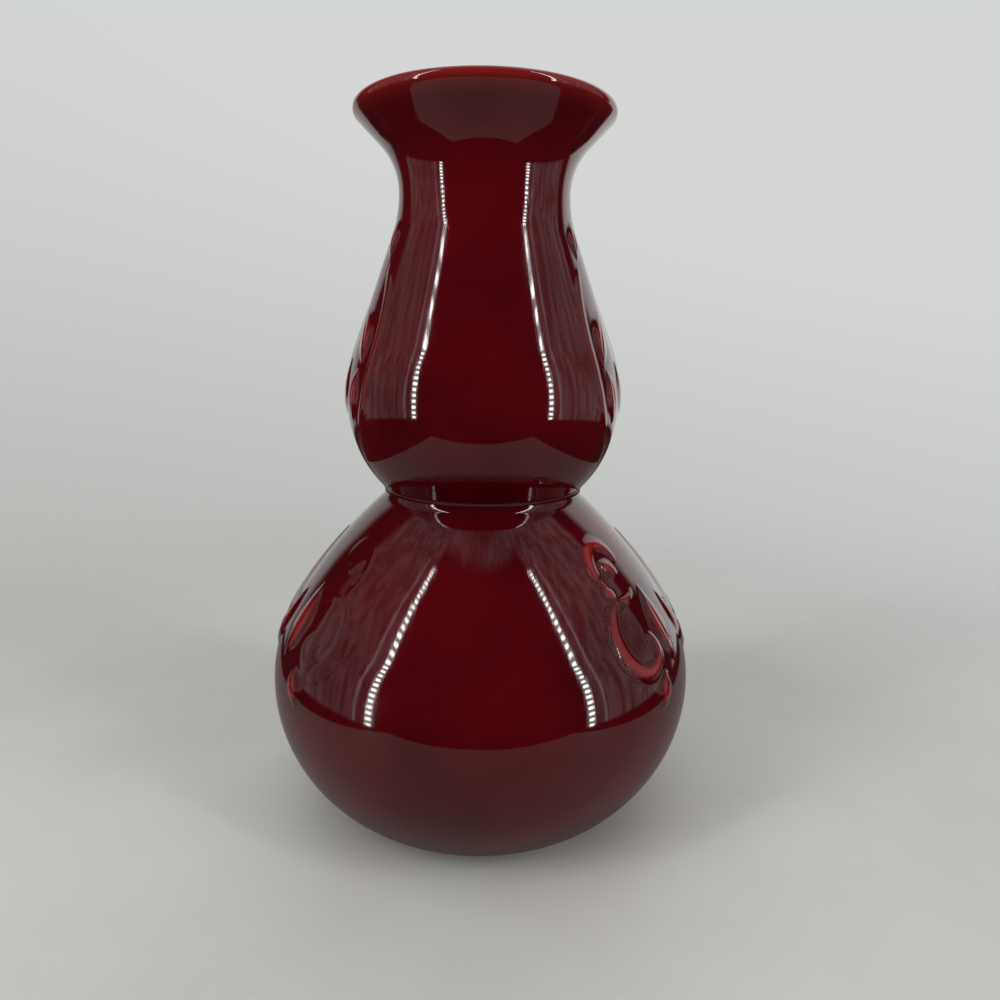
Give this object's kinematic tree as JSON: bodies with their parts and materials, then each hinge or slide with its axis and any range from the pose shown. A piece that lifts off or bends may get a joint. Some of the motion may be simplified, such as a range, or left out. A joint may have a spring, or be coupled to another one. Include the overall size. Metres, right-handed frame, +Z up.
{
  "type": "gourd vase",
  "caption": "Double-gourd flower vase with a flared mouth, pinched waist, narrow foot ring and low moulded leaf sprigs on its sides.",
  "frame": {"origin": "centre of the foot, on the surface that the vase stands on", "axes": "+Z up along the vase's axis, -Y towards the plain front, +X to the viewer's right"},
  "size_m": [0.1312, 0.1312, 0.21],
  "materials": {
    "red_glaze": "glossy",
    "sprig_glaze": "glossy",
    "bare_clay": "matte"
  },
  "bodies": {
    "root": {"foot_ring": "bare_clay", "vase_floor": "red_glaze", "lower_bulb": "red_glaze", "waist_seam": "red_glaze", "upper_bulb": "red_glaze", "flared_neck": "red_glaze", "lip_roll": "red_glaze", "right_front_lower_spray": "sprig_glaze", "right_front_upper_spray": "sprig_glaze", "right_back_lower_spray": "sprig_glaze", "right_back_upper_spray": "sprig_glaze", "right_lower_leaves": "sprig_glaze", "right_upper_leaves": "sprig_glaze", "left_front_lower_spray": "sprig_glaze", "left_front_upper_spray": "sprig_glaze", "left_back_lower_spray": "sprig_glaze", "left_back_upper_spray": "sprig_glaze", "left_lower_leaves": "sprig_glaze", "left_upper_leaves": "sprig_glaze"}
  },
  "joints": []
}
